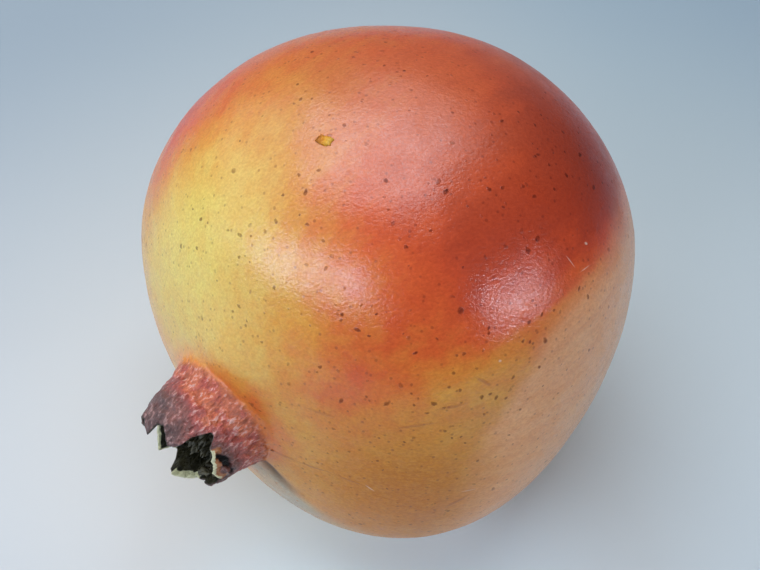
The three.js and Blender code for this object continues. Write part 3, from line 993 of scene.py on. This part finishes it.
def stalk():
    around = np.arange(STALK_COLUMNS) * 360 / STALK_COLUMNS
    base = STALK_SEAT["reach"] - STUB["gap"]
    slant = STUB["slant"] * np.cos(np.radians(around - STUB["slant_side"]))

    def bark(out):
        ridges = 0.4 - np.abs(around_noise(around, 3.2, 41, out, 0.25))
        cracks = around_noise(around, 7, 42, out, 0.8)
        return 1 + 0.04 * np.cos(5 * np.radians(around)) + 0.10 * ridges + 0.03 * cracks

    rows, cut = [], []
    for radius in np.linspace(0.35, STUB["radius"] - 0.12, STUB["cut_rings"]):
        saw = 0.07 * around_noise(around, 2 + 2 * radius, 43) + 0.05 * math.sin(9 * radius)
        share = 0.5 + 0.5 * (radius / STUB["radius"]) ** 2
        rows.append((base - STUB["length"] + saw - slant * radius / STUB["radius"],
                     radius * (1 + (bark(STUB["length"]) - 1) * share)))
        cut.append(1.0)
    for out, radius in STUB_SIDE:
        tilt = slant * smooth(out, 2.5, STUB["length"])
        lip = 0.10 * around_noise(around, 5, 44, out, 1.5) * smooth(out, 0.1, 0.8)
        rows.append((base - out - tilt, (radius + lip) * bark(out)))
        cut.append(0.0)
    rings = np.stack([place(reach, radius, around) for reach, radius in rows])
    end = place(base - STUB["length"], 0, 0.0)
    piece = ring_mesh("stalk_wood", end, rings, place(base, 0, 0.0))
    set_field(piece, "cut", np.concatenate([[1.0], np.repeat(cut, STALK_COLUMNS), [0.0]]))
    return piece


def stalk_material():
    s = Shader("stalk_bark")
    at = s.place()
    fibre = s.noise(s.stretched(at, FIBRE["stretch"]), *FIBRE["noise"])
    bark = s.ramp(fibre, RAMPS["bark"])
    off_axis = s.vector("LENGTH", s.vector("MULTIPLY", s.from_centre(at), (1, 0, 1)))
    bent = s.noise(at, *GROWTH_RINGS["noise"])
    bent = s.math("MULTIPLY_ADD", bent, GROWTH_RINGS["wander"], off_axis)
    ring = s.math("SINE", s.times(bent, 2 * math.pi / GROWTH_RINGS["apart"]))
    wood = s.ramp(s.span(ring, -1, 1), RAMPS["wood"])
    wood = s.mix(s.span(off_axis, 0.0003, 0.0008, 0.7, 0), wood, PAINT["pith"])
    wood = s.mix(s.mottle(at, "wood"), wood, PAINT["weathered"])
    s.set(Base_Color=s.mix(s.attribute("cut"), bark, wood), Normal=s.bump(fibre, 0.00025, 0.8),
          Roughness=0.78)
    return s.material


# ---- Pieces ----

make_camera()
fruit = rind()
tree = surface_tree(fruit)
lenticels = pores(tree)
dry_threads = stamens()
stub = stalk()
sap = sap_bead(tree)
stains, scratches = streaks(tree, "stain"), streaks(tree, "pale")

skin_finish = skin_material()
for piece in (fruit, lenticels, stains, scratches):
    piece.data.materials.append(skin_finish)
dry_threads.data.materials.append(stamen_material())
stub.data.materials.append(stalk_material())
sap.data.materials.append(sap_material())

for piece, node, slot in ((fruit, "fruit", "rind"), (dry_threads, "stamens", "dry_stamen"),
                          (stub, "stalk_stub", "stalk_wood")):
    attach(piece, "root")
    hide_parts(node)
for piece in (lenticels, stains, scratches, sap):
    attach(piece, "root")

# ---- Stage ----

FLOOR_HALF = 2.0
# Colours of the paper, painted darker and bluer away from the camera as shade, and in metres where
# it changes, across the picture and away from the camera.
FLOOR_NEAR, FLOOR_FAR = (0.665, 0.665, 0.635), (0.435, 0.485, 0.49)
FLOOR_FADE = (-0.04, 0.16)
# Then a painted shadow on the right, painted shade toward the edges, and a painted pool of light
# under the fruit's near side.
FLOOR_RIGHT = dict(colour=(0.88, 0.95, 1.00), across=(-0.01, 0.08))
FLOOR_EDGE = dict(colour=(0.78, 0.82, 0.89), across=0.025, away=0.035, radius=(0.07, 0.18))
FLOOR_GLOW = dict(colour=(0.84, 0.96, 1.0), across=0.002, away=-0.037, radius=(0.01, 0.052))


def studio_floor():
    half = FLOOR_HALF
    corners = [(-half, -half, 0), (half, -half, 0), (half, half, 0), (-half, half, 0)]
    floor = add_piece("floor", corners, [(0, 1, 2, 3)])
    s = Shader("pale_floor")
    right, _, back = camera_axes()
    beyond = Vector((-back.x, -back.y, 0)).normalized()
    at = s.place()

    def off(spot):
        return s.vector("DISTANCE", at, tuple(right * spot["across"] + beyond * spot["away"]))

    # Painted shade: darker and bluer away from the camera, and a painted shadow to the right.
    away = s.span(s.dot(at, tuple(beyond)), *FLOOR_FADE)
    across = s.span(s.dot(at, tuple(right)), *FLOOR_RIGHT["across"])
    paper = s.ramp(away, [(0, FLOOR_NEAR), (1, FLOOR_FAR)])
    paper = s.mix(across, paper, FLOOR_RIGHT["colour"], "MULTIPLY")
    # Painted shade toward the edges.
    outer = s.span(off(FLOOR_EDGE), *FLOOR_EDGE["radius"])
    paper = s.mix(outer, paper, FLOOR_EDGE["colour"], "MULTIPLY")
    # A painted pool of light under the fruit's near side.
    glow = s.span(off(FLOOR_GLOW), *FLOOR_GLOW["radius"], 1, 0)
    paper = s.mix(glow, paper, FLOOR_GLOW["colour"])
    s.set(Base_Color=paper, Roughness=0.9, Specular_IOR_Level=0.2)
    floor.data.materials.append(s.material)


LIGHT_DISTANCE = 700     # from the fruit's centre, in millimetres


def soft_light(name, azimuth, elevation, width, height, radiance, roll=0, colour=(1, 1, 1)):
    """A flat soft light round the fruit: where it is, its size in millimetres, how bright it is,
    and how far its long side is turned."""
    way = bearing(azimuth, elevation)
    data = bpy.data.lights.new(name, "AREA")
    data.shape = "RECTANGLE"
    data.size, data.size_y = width * MM, height * MM
    data.energy = radiance * math.pi * data.size * data.size_y
    data.color = colour
    light = add_object(name, data)
    light.location = (way * LIGHT_DISTANCE + Vector((0, 0, CENTRE_HEIGHT))) * MM
    turned = way.to_track_quat("Z", "Y") @ Quaternion((0, 0, 1), math.radians(roll))
    light.rotation_euler = turned.to_euler()


studio_floor()
soft_light("overhead", -126, 74.5, 720, 980, 1.08, roll=132, colour=(0.98, 0.99, 1.04))
soft_light("overhead_core", -88, 76.3, 780, 620, 1.74, roll=110, colour=(0.90, 0.99, 1.12))
soft_light("left_wall", -75, 34, 700, 620, 0.68)
soft_light("front_left", -11, 27, 690, 260, 3.25, roll=21, colour=(0.79, 0.97, 1.25))
soft_light("front_left_edge", -17, 22, 1260, 130, 1.4, roll=20, colour=(0.85, 0.98, 1.15))
soft_light("right_side", 94.5, 22.5, 470, 10, 68.0, roll=-11, colour=(0.85, 0.97, 1.12))

world = bpy.data.worlds.new("studio")
world.use_nodes = True
background = world.node_tree.nodes["Background"]
background.inputs["Color"].default_value = (0.80, 0.90, 1, 1)
background.inputs["Strength"].default_value = 0.10
bpy.context.scene.world = world
bpy.context.scene.view_settings.view_transform = "Standard"
